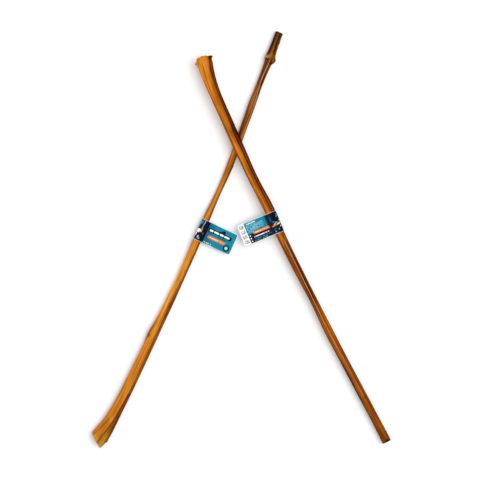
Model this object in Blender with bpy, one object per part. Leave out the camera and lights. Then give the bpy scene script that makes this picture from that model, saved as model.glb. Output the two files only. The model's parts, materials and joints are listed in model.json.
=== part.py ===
"""Two full-length dried chew sticks lying crossed, each with a folded paper label.

The lower stick lies on the ground. The upper stick rests across it and comes down to the
ground at its thin end. Each label is a paper strip round its stick, whose two printed leaves
are stuck together as a flag that folds at a crease beside the stick.

Metres, +Z up. The origin is on the ground, under the middle of the pair.

Each stick is modelled along its own frame: X runs sideways, the stick runs towards -Y from
the end where its table starts, and Z is up. A frame is an empty that is turned and placed.
"""

import math

import bmesh
import bpy
from mathutils import Vector

# ---------------------------------------------------------------- layout on the ground
LOWER_START = (0.0741, 0.4191)   # where the lower stick's chord starts, at its thin end
LOWER_LEAN = -23.9               # degrees its run is turned from -Y towards +X
UPPER_START = (-0.0713, 0.3686)  # where the upper stick's chord starts, at its flared end
UPPER_LEAN = 25.1
UPPER_START_HEIGHT = 0.0249      # height of the upper stick's axis at its flared end
UPPER_TIP_HEIGHT = 0.0082        # and at its thin end, which touches the ground

# ---------------------------------------------------------------- the sticks
# Rows: distance along, sideways bow, width, height.
LOWER_OUTLINE = (
    (0.000, 0.0038, 0.0149, 0.0120),
    (0.012, 0.0043, 0.0154, 0.0124),
    (0.038, 0.0064, 0.0164, 0.0132),
    (0.048, 0.0070, 0.0184, 0.0142),
    (0.055, 0.0086, 0.0226, 0.0158),
    (0.060, 0.0091, 0.0212, 0.0150),
    (0.067, 0.0080, 0.0150, 0.0130),
    (0.085, 0.0086, 0.0130, 0.0120),
    (0.115, 0.0099, 0.0121, 0.0116),
    (0.155, 0.0123, 0.0145, 0.0126),
    (0.205, 0.0161, 0.0131, 0.0120),
    (0.290, 0.0217, 0.0124, 0.0114),
    (0.330, 0.0223, 0.0103, 0.0100),
    (0.365, 0.0219, 0.0108, 0.0102),
    (0.405, 0.0218, 0.0136, 0.0126),
    (0.455, 0.0224, 0.0159, 0.0142),
    (0.535, 0.0224, 0.0150, 0.0136),
    (0.600, 0.0212, 0.0169, 0.0148),
    (0.640, 0.0194, 0.0188, 0.0156),
    (0.664, 0.0177, 0.0218, 0.0164),
    (0.682, 0.0181, 0.0203, 0.0160),
    (0.730, 0.0167, 0.0214, 0.0166),
    (0.790, 0.0150, 0.0223, 0.0172),
    (0.830, 0.0124, 0.0245, 0.0176),
    (0.862, 0.0092, 0.0286, 0.0176),
    (0.878, 0.0062, 0.0334, 0.0172),
    (0.895, 0.0026, 0.0362, 0.0166),
)
UPPER_OUTLINE = (
    (0.000, -0.0036, 0.0392, 0.0216),
    (0.016, -0.0079, 0.0326, 0.0212),
    (0.026, -0.0098, 0.0300, 0.0210),
    (0.050, -0.0134, 0.0260, 0.0206),
    (0.085, -0.0155, 0.0224, 0.0200),
    (0.145, -0.0167, 0.0220, 0.0196),
    (0.200, -0.0178, 0.0213, 0.0190),
    (0.265, -0.0182, 0.0192, 0.0178),
    (0.330, -0.0154, 0.0207, 0.0186),
    (0.395, -0.0161, 0.0182, 0.0172),
    (0.455, -0.0149, 0.0174, 0.0164),
    (0.545, -0.0116, 0.0151, 0.0146),
    (0.606, -0.0105, 0.0174, 0.0158),
    (0.655, -0.0085, 0.0167, 0.0154),
    (0.750, -0.0037, 0.0173, 0.0158),
    (0.815, -0.0006, 0.0168, 0.0156),
    (0.860, 0.0012, 0.0180, 0.0160),
)
# Rows: distance along, angle of the lengthwise groove up from the +X side, groove depth as a
# share of the section's radius.
LOWER_GROOVE = (
    (0.000, 60.0, 0.04),
    (0.080, 70.0, 0.12),
    (0.180, 55.0, 0.08),
    (0.360, 50.0, 0.05),
    (0.500, 40.0, 0.05),
    (0.760, 46.0, 0.08),
    (0.850, 62.0, 0.15),
    (0.895, 92.0, 0.24),
)
UPPER_GROOVE = (
    (0.000, 52.0, 0.12),
    (0.085, 48.0, 0.10),
    (0.190, 70.0, 0.13),
    (0.265, 62.0, 0.13),
    (0.400, 52.0, 0.10),
    (0.600, 60.0, 0.09),
    (0.800, 70.0, 0.04),
)
GROOVE_SPREAD = 15.0             # half-width of a groove, in degrees round the stick
# Ragged end of each flared end: share of the half-width, extra length there.
LOWER_FLARE_CUT = ((-1.0, 0.000), (-0.8, 0.006), (-0.1, 0.013), (0.5, 0.020), (0.8, 0.007), (1.0, 0.002))
UPPER_FLARE_CUT = ((-1.0, 0.008), (-0.6, 0.001), (0.1, 0.002), (0.6, 0.004), (1.0, 0.011))
THIN_CUT_SLOPE = 0.30            # how far the thin ends' flat cuts lean back as they rise
LOWER_UNDERSIDE_SHAVE = 0.0007   # how much the lower stick dried flat where it lies
LABEL_ARCH = 0.0023              # rise of the lower stick off the ground under its label
LABEL_ARCH_REACH = 0.045         # half-length of that rise
STICK_SIDES = 28
RING_STEP = 0.020                # longest stretch between two sections of a stick

# ---------------------------------------------------------------- the dried sinew strands
# Rows: distance along, angle up from the +X side, radius of the strand.
LOWER_SINEW = (
    (0.070, 78.0, 0.0006),
    (0.082, 84.0, 0.0010),
    (0.110, 92.0, 0.0012),
    (0.135, 70.0, 0.0011),
    (0.160, 56.0, 0.0006),
)
UPPER_SINEW = (
    (0.398, 76.0, 0.0007),
    (0.420, 78.0, 0.0010),
    (0.470, 82.0, 0.0011),
    (0.540, 92.0, 0.0011),
    (0.600, 98.0, 0.0006),
)
SINEW_STEP = 0.008
SINEW_SIDES = 8

# ---------------------------------------------------------------- the paper labels
GAP = 0.0003                     # clearance between neighbouring pieces
PAPER = 0.00025                  # thickness of the label paper
ADHESIVE = 0.0002                # thickness of the adhesive film between the leaves
LABEL_WIDTH = 0.0445             # width of the strip, along the stick
LOWER_LABEL_AT = 0.4295          # distance along each stick to the label's middle
UPPER_LABEL_AT = 0.3625
LOWER_LABEL_SKEW = -1.2          # degrees the strip is turned from square to the stick
UPPER_LABEL_SKEW = -2.6
NOSE = 0.0018                    # how far the wrap's crease stands off the round
CREASE = 0.0009                  # from the wrap's outer crease to the fold's axis
FLAG_ROOT = 0.0012               # from the fold's axis to the start of the leaves
FLAG_LENGTH = 0.0610             # from the fold's axis to the flag's far edge
FLAG_CORNER = 0.004              # radius of the flag's two outer corners
CORNER_SEGMENTS = 5
WRAP_SEGMENTS = 30
WRAP_SECTIONS = 7

# ---------------------------------------------------------------- colours and finishes
AMBER = (0.52, 0.22, 0.045)
RUSSET = (0.40, 0.14, 0.03)
PALE_SINEW = (0.72, 0.45, 0.20)
TEAL = (0.02, 0.34, 0.45)
NAVY = (0.01, 0.03, 0.08)
PAPER_WHITE = (0.85, 0.86, 0.86)
GLUE = (0.80, 0.78, 0.70)


def clear_scene():
    """Remove every object, so that the model starts from nothing."""
    for item in list(bpy.data.objects):
        bpy.data.objects.remove(item, do_unlink=True)


def finish(name, colour, roughness):
    """A Principled material of one colour."""
    material = bpy.data.materials.new(name)
    material.use_nodes = True
    shader = material.node_tree.nodes["Principled BSDF"]
    shader.inputs["Base Color"].default_value = (*colour, 1.0)
    shader.inputs["Roughness"].default_value = roughness
    shader.inputs["Metallic"].default_value = 0.0
    return material


def frame(name, location, turn, parent=None):
    """An empty that places what is parented to it; turn is its rotation in degrees."""
    empty = bpy.data.objects.new(name, None)
    empty.location = location
    empty.rotation_euler = [math.radians(angle) for angle in turn]
    empty.parent = parent
    bpy.context.scene.collection.objects.link(empty)
    return empty


def add_solid(name, bm, material, parent):
    """Turn a closed bmesh into an object with outward faces, smooth where it is round."""
    bmesh.ops.recalc_face_normals(bm, faces=bm.faces)
    mesh = bpy.data.meshes.new(name)
    bm.to_mesh(mesh)
    bm.free()
    mesh.shade_smooth()
    mesh.set_sharp_from_angle(angle=math.radians(40.0))
    mesh.materials.append(material)
    solid = bpy.data.objects.new(name, mesh)
    solid.parent = parent
    bpy.context.scene.collection.objects.link(solid)
    return solid


def smooth_value(rows, place):
    """The table's values at a place in its first column, on a smooth curve through its rows."""
    if place <= rows[0][0]:
        return rows[0][1:]
    if place >= rows[-1][0]:
        return rows[-1][1:]
    index = next(i for i in range(len(rows) - 1) if place <= rows[i + 1][0])
    here, there = rows[index], rows[index + 1]
    before, after = rows[max(index - 1, 0)], rows[min(index + 2, len(rows) - 1)]
    span = there[0] - here[0]
    t = (place - here[0]) / span
    values = []
    for column in range(1, len(here)):
        leave = (there[column] - before[column]) / (there[0] - before[0]) * span
        arrive = (after[column] - here[column]) / (after[0] - here[0]) * span
        value = (2 * t**3 - 3 * t**2 + 1) * here[column] + (t**3 - 2 * t**2 + t) * leave
        value += (3 * t**2 - 2 * t**3) * there[column] + (t**3 - t**2) * arrive
        values.append(value)
    return values


def straight_value(rows, place):
    """The second column of a two-column table at a place, on straight runs between its rows."""
    if place <= rows[0][0]:
        return rows[0][1]
    for (start, low), (end, high) in zip(rows, rows[1:]):
        if place <= end:
            return low + (high - low) * (place - start) / (end - start)
    return rows[-1][1]


def steps_along(rows, longest):
    """Every distance named by a table, with even steps no longer than longest between them."""
    places = [rows[0][0]]
    for row, following in zip(rows, rows[1:]):
        count = math.ceil((following[0] - row[0]) / longest)
        for step in range(1, count + 1):
            places.append(row[0] + (following[0] - row[0]) * step / count)
    return places


def join_rings(bm, first, second):
    """A band of four-sided faces between two rings of vertices."""
    count = len(first)
    for index in range(count):
        after = (index + 1) % count
        bm.faces.new((first[index], first[after], second[after], second[index]))


def close_ring(bm, ring):
    """A fan of faces from a ring to a vertex at its middle."""
    middle = bm.verts.new(sum((vertex.co for vertex in ring), Vector()) / len(ring))
    for index, vertex in enumerate(ring):
        bm.faces.new((vertex, ring[(index + 1) % len(ring)], middle))


def loft(rings):
    """A closed bmesh through a row of rings of points."""
    bm = bmesh.new()
    loops = [[bm.verts.new(point) for point in ring] for ring in rings]
    for loop, following in zip(loops, loops[1:]):
        join_rings(bm, loop, following)
    close_ring(bm, loops[0])
    close_ring(bm, loops[-1])
    return bm


def lower_axis_height(along):
    """Height of the lower stick's axis: it lies on its shaved underside and arches at its label."""
    height = smooth_value(LOWER_OUTLINE, along)[2]
    arch = LABEL_ARCH * math.exp(-((along - LOWER_LABEL_AT) / LABEL_ARCH_REACH) ** 4)
    return height / 2 - LOWER_UNDERSIDE_SHAVE + arch


def upper_axis_height(along):
    """The upper stick is modelled round its own straight axis plane; its frame tilts it."""
    return 0.0


def section(outline, groove, axis_height, along):
    """The ring of points of a stick's section: an oval with a lengthwise groove."""
    bow, width, height = smooth_value(outline, along)
    groove_angle, groove_depth = smooth_value(groove, along)
    ring = []
    for index in range(STICK_SIDES):
        angle = 360.0 * index / STICK_SIDES
        away = (angle - groove_angle + 180.0) % 360.0 - 180.0
        scale = 1.0 - groove_depth * math.exp(-((away / GROOVE_SPREAD) ** 2))
        sideways = bow + scale * width / 2 * math.cos(math.radians(angle))
        upwards = axis_height(along) + scale * height / 2 * math.sin(math.radians(angle))
        ring.append(Vector((sideways, -along, upwards)))
    return ring


def ragged_cut(ring, cut):
    """Lengthen a flared end's last ring by its ragged profile across the width."""
    low = min(point.x for point in ring)
    high = max(point.x for point in ring)
    for point in ring:
        share = (2 * point.x - low - high) / (high - low)
        point.y -= straight_value(cut, share)


def sloping_cut(ring, axis_height, slope):
    """Lean a thin end's flat cut along the stick as it rises."""
    for point in ring:
        point.y -= slope * (point.z - axis_height)


def make_lower_stick(parent, material):
    """The lower stick: thin knotty end first, flared end last, flat where it lies."""
    places = steps_along(LOWER_OUTLINE, RING_STEP)
    rings = [section(LOWER_OUTLINE, LOWER_GROOVE, lower_axis_height, place) for place in places]
    for ring in rings:
        for point in ring:
            point.z = max(point.z, 0.0)
    sloping_cut(rings[0], lower_axis_height(places[0]), THIN_CUT_SLOPE)
    ragged_cut(rings[-1], LOWER_FLARE_CUT)
    return add_solid("lower_stick", loft(rings), material, parent)


def make_upper_stick(parent, material):
    """The upper stick: flared end first, square-cut thin end last."""
    places = steps_along(UPPER_OUTLINE, RING_STEP)
    rings = [section(UPPER_OUTLINE, UPPER_GROOVE, upper_axis_height, place) for place in places]
    ragged_cut(rings[0], UPPER_FLARE_CUT)
    sloping_cut(rings[-1], upper_axis_height(places[-1]), -THIN_CUT_SLOPE)
    return add_solid("upper_stick", loft(rings), material, parent)


def make_sinew(name, rows, outline, axis_height, parent, material):
    """A dried strand that lies along a stick's surface, thinner at both ends."""
    rings = []
    for along in steps_along(rows, SINEW_STEP):
        angle, radius = smooth_value(rows, along)
        bow, width, height = smooth_value(outline, along)
        across, up = math.cos(math.radians(angle)), math.sin(math.radians(angle))
        surface = Vector((bow + width / 2 * across, -along, axis_height(along) + height / 2 * up))
        outwards = Vector((across * height, 0.0, up * width)).normalized()
        centre = surface + outwards * (GAP + radius)
        ring = []
        for index in range(SINEW_SIDES):
            turn = 2 * math.pi * index / SINEW_SIDES
            ring.append(centre + Vector((radius * math.cos(turn), 0.0, radius * math.sin(turn))))
        rings.append(ring)
    return add_solid(name, loft(rings), material, parent)


def wrap_loop(half_width, half_height, nose):
    """Points of a drop-shaped loop: an oval whose +X side runs out to a crease at nose."""
    touch = math.acos(half_width / nose)
    points = [(nose, 0.0)]
    for step in range(WRAP_SEGMENTS + 1):
        angle = touch + (2 * math.pi - 2 * touch) * step / WRAP_SEGMENTS
        points.append((half_width * math.cos(angle), half_height * math.sin(angle)))
    return points


def crease_distance(outline, label_at):
    """Distance from a stick's axis to the outer crease of its wrap, at the label's middle."""
    width = smooth_value(outline, label_at)[1]
    return width / 2 + GAP + PAPER + NOSE


def make_wrap(name, outline, axis_height, label_at, skew, side, parent, material):
    """The label's stretch round the stick: a thin drop-shaped sleeve, its crease on one side."""
    bm = bmesh.new()
    nose = crease_distance(outline, label_at)
    inner_loops, outer_loops = [], []
    for step in range(WRAP_SECTIONS):
        across_strip = LABEL_WIDTH * (step / (WRAP_SECTIONS - 1) - 0.5)
        along = label_at + across_strip
        bow, width, height = smooth_value(outline, along)
        middle_bow = smooth_value(outline, label_at)[0]
        for loops, grow, tip in ((inner_loops, GAP, nose - 2 * PAPER), (outer_loops, GAP + PAPER, nose)):
            loop = []
            for x, z in wrap_loop(width / 2 + grow, height / 2 + grow, tip + side * (middle_bow - bow)):
                slide = (side * x - nose * side) * math.tan(math.radians(skew))
                place = Vector((bow + side * x, -along + slide, axis_height(along) + z))
                loop.append(bm.verts.new(place))
            loops.append(loop)
    for loops in (inner_loops, outer_loops):
        for loop, following in zip(loops, loops[1:]):
            join_rings(bm, loop, following)
    join_rings(bm, inner_loops[0], outer_loops[0])
    join_rings(bm, inner_loops[-1], outer_loops[-1])
    return add_solid(name, bm, material, parent)


def make_leaf(name, bottom, top, side, inset, parent, material):
    """A flat sheet of the flag with round outer corners, between two heights."""
    near = FLAG_ROOT + inset
    far = FLAG_LENGTH - inset
    half = LABEL_WIDTH / 2 - inset
    outline = [(near, -half)]
    for corner_y, start in ((-half + FLAG_CORNER, -90.0), (half - FLAG_CORNER, 0.0)):
        for step in range(CORNER_SEGMENTS + 1):
            angle = math.radians(start + 90.0 * step / CORNER_SEGMENTS)
            x = far - FLAG_CORNER + FLAG_CORNER * math.cos(angle)
            outline.append((x, corner_y + FLAG_CORNER * math.sin(angle)))
    outline.append((near, half))
    bm = bmesh.new()
    sheet = bm.faces.new([bm.verts.new((side * x, y, bottom)) for x, y in outline])
    extruded = bmesh.ops.extrude_face_region(bm, geom=[sheet])
    raised = [item for item in extruded["geom"] if isinstance(item, bmesh.types.BMVert)]
    bmesh.ops.translate(bm, verts=raised, vec=(0.0, 0.0, top - bottom))
    return add_solid(name, bm, material, parent)


def make_flag(prefix, outline, axis_height, label_at, skew, side, top_leaf, bottom_leaf, parent, materials):
    """The label's two leaves with the adhesive between them, on a frame at the fold."""
    bow = smooth_value(outline, label_at)[0]
    reach = crease_distance(outline, label_at) + CREASE
    fold = frame(
        f"{prefix}_label_fold",
        (bow + side * reach, -label_at, axis_height(label_at)),
        (0.0, 0.0, skew),
        parent,
    )
    inner = ADHESIVE / 2 + GAP
    outer = inner + PAPER
    make_leaf(f"{prefix}_label_{top_leaf}", inner, outer, side, 0.0, fold, materials["print"])
    make_leaf(f"{prefix}_label_{bottom_leaf}", -outer, -inner, side, 0.0, fold, materials["back"])
    make_leaf(f"{prefix}_label_adhesive", -ADHESIVE / 2, ADHESIVE / 2, side, 0.002, fold, materials["glue"])


def build():
    """Lay out the frames and make every piece."""
    clear_scene()
    amber = finish("amber_tissue", AMBER, 0.42)
    russet = finish("russet_tissue", RUSSET, 0.40)
    sinew = finish("pale_sinew", PALE_SINEW, 0.50)
    wrap_print = finish("navy_print", NAVY, 0.35)
    papers = {
        "print": finish("teal_print", TEAL, 0.35),
        "back": finish("white_print", PAPER_WHITE, 0.45),
        "glue": finish("adhesive", GLUE, 0.60),
    }

    lower = frame("lower_frame", (*LOWER_START, 0.0), (0.0, 0.0, LOWER_LEAN))
    run = UPPER_OUTLINE[-1][0]
    tilt = math.degrees(math.asin((UPPER_START_HEIGHT - UPPER_TIP_HEIGHT) / run))
    upper = frame("upper_frame", (*UPPER_START, UPPER_START_HEIGHT), (tilt, 0.0, UPPER_LEAN))

    make_lower_stick(lower, amber)
    make_sinew("lower_sinew", LOWER_SINEW, LOWER_OUTLINE, lower_axis_height, lower, sinew)
    lower_label = (LOWER_OUTLINE, lower_axis_height, LOWER_LABEL_AT, LOWER_LABEL_SKEW, 1.0)
    make_wrap("lower_label_wrap", *lower_label, lower, wrap_print)
    make_flag("lower", *lower_label, "front_leaf", "back_leaf", lower, papers)

    make_upper_stick(upper, russet)
    make_sinew("upper_sinew", UPPER_SINEW, UPPER_OUTLINE, upper_axis_height, upper, sinew)
    upper_label = (UPPER_OUTLINE, upper_axis_height, UPPER_LABEL_AT, UPPER_LABEL_SKEW, -1.0)
    make_wrap("upper_label_wrap", *upper_label, upper, wrap_print)
    make_flag("upper", *upper_label, "back_leaf", "front_leaf", upper, papers)


build()
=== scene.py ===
# %% [markdown]
# # Two crossed chew sticks with folded paper labels
#
# The real object is a pair of natural sticks of dried animal tissue, each a little longer than
# an arm. One lies flat. The other lies across it. Each has a thick flared end, a thin cut end, a
# surface of lengthwise fibres, and a printed paper strip folded round it like a small flag.
#
# The plain solids come packed, with their joints, and never move here. This lesson makes the
# fine surfaces that stand for them: it feels each plain stick with rays, rolls a fine sheet of
# faces to that shape, and presses creases, lumps and fibres into it. Then it folds the labels,
# lays the dried strands, and ends with the finishes, the light and the camera.

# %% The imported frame
import json
import math

import bpy
import numpy as np
from mathutils import Matrix, Vector
from mathutils.bvhtree import BVHTree


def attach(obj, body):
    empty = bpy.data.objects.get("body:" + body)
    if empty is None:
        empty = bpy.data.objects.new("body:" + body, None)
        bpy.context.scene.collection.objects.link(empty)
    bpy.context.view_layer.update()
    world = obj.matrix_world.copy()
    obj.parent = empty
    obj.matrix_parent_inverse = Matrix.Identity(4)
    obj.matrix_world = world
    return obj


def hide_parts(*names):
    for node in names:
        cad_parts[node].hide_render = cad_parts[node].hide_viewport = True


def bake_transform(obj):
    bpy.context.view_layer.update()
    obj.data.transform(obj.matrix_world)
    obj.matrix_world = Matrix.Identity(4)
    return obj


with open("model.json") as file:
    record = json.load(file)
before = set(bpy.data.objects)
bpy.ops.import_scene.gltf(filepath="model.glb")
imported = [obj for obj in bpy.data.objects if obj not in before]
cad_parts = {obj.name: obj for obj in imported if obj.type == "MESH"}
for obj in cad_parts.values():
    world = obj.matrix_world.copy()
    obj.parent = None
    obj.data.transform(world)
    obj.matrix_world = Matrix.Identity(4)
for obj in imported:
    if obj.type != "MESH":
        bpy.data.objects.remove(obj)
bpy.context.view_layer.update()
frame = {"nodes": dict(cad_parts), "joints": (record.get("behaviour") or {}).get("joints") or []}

MM = 0.001
print("plain solids:", ", ".join(sorted(frame["nodes"])))

# %% [markdown]
# ## A clean start for each new piece
#
# An operator acts on all that is selected, and loading leaves the plain solids selected. So
# every piece starts with nothing selected, and is finished by one helper. It names the piece and
# smooths its shading up to a crease angle. The lines after it say which body carries the piece,
# where one does, and which plain solids it stands for.


# %% Selecting and finishing
def select_only(piece):
    """Make this piece the only selected one, and the active one."""
    bpy.ops.object.select_all(action="DESELECT")
    piece.select_set(True)
    bpy.context.view_layer.objects.active = piece


def finish_piece(piece, name, crease_angle=40.0):
    """Name a piece and smooth its shading."""
    piece.name = name
    piece.data.name = name
    select_only(piece)
    bpy.ops.object.shade_smooth_by_angle(angle=math.radians(crease_angle))
    triangles = sum(len(face.vertices) - 2 for face in piece.data.polygons)
    print(f"{name}: {len(piece.data.vertices)} points, {triangles} triangles")


def close_and_turn_out(piece, merge=0.00001):
    """Merge doubled points, then turn every face outwards."""
    select_only(piece)
    bpy.ops.object.mode_set(mode="EDIT")
    bpy.ops.mesh.select_all(action="SELECT")
    bpy.ops.mesh.remove_doubles(threshold=merge)
    bpy.ops.mesh.normals_make_consistent(inside=False)
    bpy.ops.object.mode_set(mode="OBJECT")


# %% [markdown]
# ## Feeling the plain sticks
#
# A carver copies a shape with a profile gauge. Here rays do that work. Each plain stick gets a
# frame of its own: it runs towards -Y from its first end, with X sideways and Z up. Rays sent in
# from all round then give the surface at every distance along the stick. The plain solid has few
# sides, so the readings are smoothed, which rounds its facets without moving its outline.


# %% The stick's own frame
def run_frame(node):
    """A matrix that places the stick's own frame, and the stick's length along its run."""
    points = np.array([vertex.co for vertex in frame["nodes"][node].data.vertices])
    middle = points.mean(axis=0)
    run = np.linalg.svd(points - middle, full_matrices=False)[2][0]
    if run[1] > 0:
        run = -run
    along = (points - middle) @ run
    start = middle + run * along.min()
    side = np.cross((0.0, 0.0, 1.0), run)
    side /= np.linalg.norm(side)
    up = np.cross(run, side)
    columns = Matrix((side, -run, up)).transposed()
    return Matrix.Translation(start) @ columns.to_4x4(), float(np.ptp(along))


def local_tree(node, place):
    """A search tree over a plain solid's faces, in the stick's own frame."""
    mesh = frame["nodes"][node].data
    back = place.inverted()
    corners = [back @ vertex.co for vertex in mesh.vertices]
    return BVHTree.FromPolygons(corners, [face.vertices[:] for face in mesh.polygons]), corners


# %% Rays from all round
FAR = 0.08  # where a ray starts, well outside any stick


def hit(tree, start, towards):
    """Distance from a starting point to the surface, or None."""
    return tree.ray_cast(Vector(start), Vector(towards))[3]


def section_middle(tree, corners, along):
    """Sideways and upward middle of the stick's section at a distance along it."""
    near = [corner for corner in corners if abs(-corner.y - along) < 0.025]
    x = sum(corner.x for corner in near) / len(near)
    z = sum(corner.z for corner in near) / len(near)
    for _ in range(3):
        top = FAR - hit(tree, (x, -along, FAR), (0, 0, -1))
        bottom = hit(tree, (x, -along, -FAR), (0, 0, 1)) - FAR
        z = (top + bottom) / 2
        right = FAR - hit(tree, (FAR, -along, z), (-1, 0, 0))
        left = hit(tree, (-FAR, -along, z), (1, 0, 0)) - FAR
        x = (left + right) / 2
    return x, z


def smoothed(table, rows_each_way, wrap=False):
    """A table of readings, evened out along its first axis by a soft window."""
    window = np.hanning(2 * rows_each_way + 3)[1:-1]
    window /= window.sum()
    mode = "wrap" if wrap else "edge"
    padded = np.pad(table, ((rows_each_way, rows_each_way), (0, 0)), mode=mode)
    result = np.zeros_like(table)
    for shift, share in enumerate(window):
        result += share * padded[shift : shift + len(table)]
    return result


def feel_stick(tree, corners, alongs, angles):
    """Middles (rows x 2) and radii (rows x sides) of a stick's sections."""
    middles = np.array([section_middle(tree, corners, along) for along in alongs])
    radii = np.zeros((len(alongs), len(angles)))
    for row, (along, (x, z)) in enumerate(zip(alongs, middles)):
        for side, angle in enumerate(angles):
            across, up = math.cos(math.radians(angle)), math.sin(math.radians(angle))
            start = (x + FAR * across, -along, z + FAR * up)
            distance = hit(tree, start, (-across, 0.0, -up))
            radii[row, side] = FAR - distance
    radii = smoothed(radii, 4)
    radii = smoothed(radii.T, 2, wrap=True).T
    return smoothed(middles, 4), radii


# %% [markdown]
# ## The hand that shapes a stick
#
# All the marks on a stick are laid in the same two measures: how far along it they are, and at
# which angle round it, with 0 at its right side and 90 on top. A sheet of readings is kept for
# the radius, one for how dark the surface is painted, and others for how golden and how pale
# the tissue is. The dark sheet is mostly painted shade, in furrows, pits and the valleys between
# fibres, and where it is negative it is a painted highlight. Each mark changes the radius and
# the colour together, so a crease is both deep and darkened with painted shade.
# This is done with tables and smooth curves, as sculpting by hand can't be repeated exactly.


# %% Marks on a stick
class Blank:
    """A stick being shaped: its readings in rows along it, and columns round it."""

    def __init__(self, node, sides, row_step, fine_from, fine_to, fine_step):
        self.place, self.length = run_frame(node)
        tree, corners = local_tree(node, self.place)
        first, last = 0.0045, self.length - 0.0045
        coarse = np.arange(first, last, row_step)
        coarse = coarse[(coarse < fine_from) | (coarse > fine_to)]
        fine = np.arange(fine_from, fine_to, fine_step)
        self.alongs = np.unique(np.concatenate([coarse, fine, [last]]))
        self.angles = np.arange(sides) * 360.0 / sides - 90.0
        self.tree, self.corners = tree, corners

    def feel(self, whole_from, whole_to):
        """Read the plain stick; past the last whole section its readings are repeated."""
        felt = np.clip(self.alongs, whole_from, whole_to)
        self.middles, self.radii = feel_stick(self.tree, self.corners, felt, self.angles)
        # The dark sheet holds painted shade, and painted highlight where it is negative.
        self.dark = np.zeros_like(self.radii)
        self.gold = np.zeros_like(self.radii)
        self.pale = np.zeros_like(self.radii)
        print(f"felt {self.radii.size} places on a stick {self.length:.3f} m long")

    def to_world(self, points):
        """Points in the stick's own frame, moved to where the stick lies."""
        return points @ np.array(self.place.to_3x3()).T + np.array(self.place.translation)

    def top_at(self, along, x):
        """Height of the shaped stick's upper surface at a distance along it and a place across."""
        row = int(np.abs(self.alongs - along).argmin())
        upward = self.angles >= 0
        upward &= self.angles <= 180
        turn = np.radians(self.angles[upward])
        across = self.middles[row, 0] + self.radii[row, upward] * np.cos(turn)
        height = self.middles[row, 1] + self.radii[row, upward] * np.sin(turn)
        order = np.argsort(across)
        return np.interp(x, across[order], height[order])

    def follow(self, rows, column):
        """A mark's table read at every row of the stick, on a gently smoothed line."""
        rows = np.array(rows)
        values = np.interp(self.alongs, rows[:, 0], rows[:, column])
        return smoothed(values[:, None], 5)

    def window(self, start, end, fade):
        """1 between two distances along the stick, fading to 0 past them."""
        rise = np.clip((self.alongs - start) / fade + 0.5, 0.0, 1.0)
        fall = np.clip((end - self.alongs) / fade + 0.5, 0.0, 1.0)
        return (rise * rise * (3 - 2 * rise) * fall * fall * (3 - 2 * fall))[:, None]

    def reach(self, angle):
        """Distance round the surface from an angle to every place."""
        turn = (self.angles[None, :] - angle + 180.0) % 360.0 - 180.0
        return self.radii * np.radians(turn)

    def crease(self, rows, width, dark=0.6, fade=0.012):
        """A lengthwise furrow through rows of (along, angle, depth in mm), darkened with painted shade.
        """
        reach = self.reach(self.follow(rows, 1))
        window = self.window(rows[0][0], rows[-1][0], fade)
        shape = np.exp(-((reach / (width * MM)) ** 2)) * window
        depth = self.follow(rows, 2) * MM
        self.radii = self.radii - depth * shape
        self.dark = np.maximum(self.dark, dark * shape)

    def lump(self, along, angle, length, width, height, dark=0.0, gold=0.0, pale=0.0):
        """A smooth lump, or a pit where its height is negative; sizes in mm. Dark is painted shade, and a
        negative dark a painted highlight.
        """
        reach = self.reach(angle) / (width * MM)
        run = (self.alongs[:, None] - along) / (length * MM)
        shape = np.exp(-(reach**2) - run**2)
        self.radii = self.radii + height * MM * shape
        self.dark += dark * shape
        self.gold += gold * shape
        self.pale += pale * shape

    def tint(self, sheet, rows, width, amount, fade=0.015):
        """Colour a lengthwise stripe through rows of (along, angle) on one of the sheets."""
        shape = np.exp(-((self.reach(self.follow(rows, 1)) / (width * MM)) ** 2))
        sheet += amount * shape * self.window(rows[0][0], rows[-1][0], fade)


# %% Fibres
def swells(angles, alongs, count, length, seed):
    """Smooth noise from -1 to 1: count swells round a stick, each about length long."""
    table = np.random.default_rng(seed).uniform(-1.0, 1.0, (count, 2048))
    around = (angles[None, :] + 90.0) / 360.0 * count + 0 * alongs[:, None]
    run = alongs[:, None] / length + 3.0 + 0 * angles[None, :]
    i, j = np.floor(around).astype(int), np.floor(run).astype(int)
    s, t = around - i, run - j
    s, t = s * s * (3 - 2 * s), t * t * (3 - 2 * t)
    low = table[i % count, j] * (1 - s) + table[(i + 1) % count, j] * s
    high = table[i % count, j + 1] * (1 - s) + table[(i + 1) % count, j + 1] * s
    return low * (1 - t) + high * t


def press_fibres(blank, seed, layers):
    """Lengthwise ridges in layers of (swells round, length, height in mm), with painted shade in their
    valleys.
    """
    drift = 9.0 * swells(np.zeros(1), blank.alongs, 3, 0.22, seed)
    for index, (count, length, height) in enumerate(layers):
        noise = np.zeros_like(blank.radii)
        for row, along in enumerate(blank.alongs):
            turned = blank.angles + drift[row, 0]
            noise[row] = swells(turned, np.array([along]), count, length, seed + index)[0]
        blank.radii = blank.radii + height * MM * (noise + 0.15)
        # The valleys between the ridges are painted darker: painted shade.
        blank.dark += np.clip(-noise, 0, 1) * height * 0.35


# %% [markdown]
# ## Rolling the sheet
#
# A stick could be a cylinder with many loop cuts, but a flat grid of faces is easier to aim: one
# way across it becomes the angle, and the other way becomes the distance along. The grid is
# rolled on to the readings, its rows are stretched to the cut or torn rim at each end, and its
# last rows run over the rim into a dished end. Merging doubled points then closes the seam
# underneath and the pole in the middle of each end.


# %% Ends and rolling
def cut_rim(blank, slope, end):
    """Distance along to a flat cut that leans back as it rises, at every angle."""
    rise = blank.radii[-1 if end else 0] * np.sin(np.radians(blank.angles))
    middle = blank.length - 0.0021 if end else 0.0021
    return middle - slope * rise if end else middle + slope * rise


def side_share(blank):
    """How far sideways each place is, from -1 at the left edge to 1 at the right one."""
    across = blank.radii * np.cos(np.radians(blank.angles))
    right = across.max(axis=1, keepdims=True)
    left = across.min(axis=1, keepdims=True)
    return (2.0 * across - right - left) / (right - left)


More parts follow.
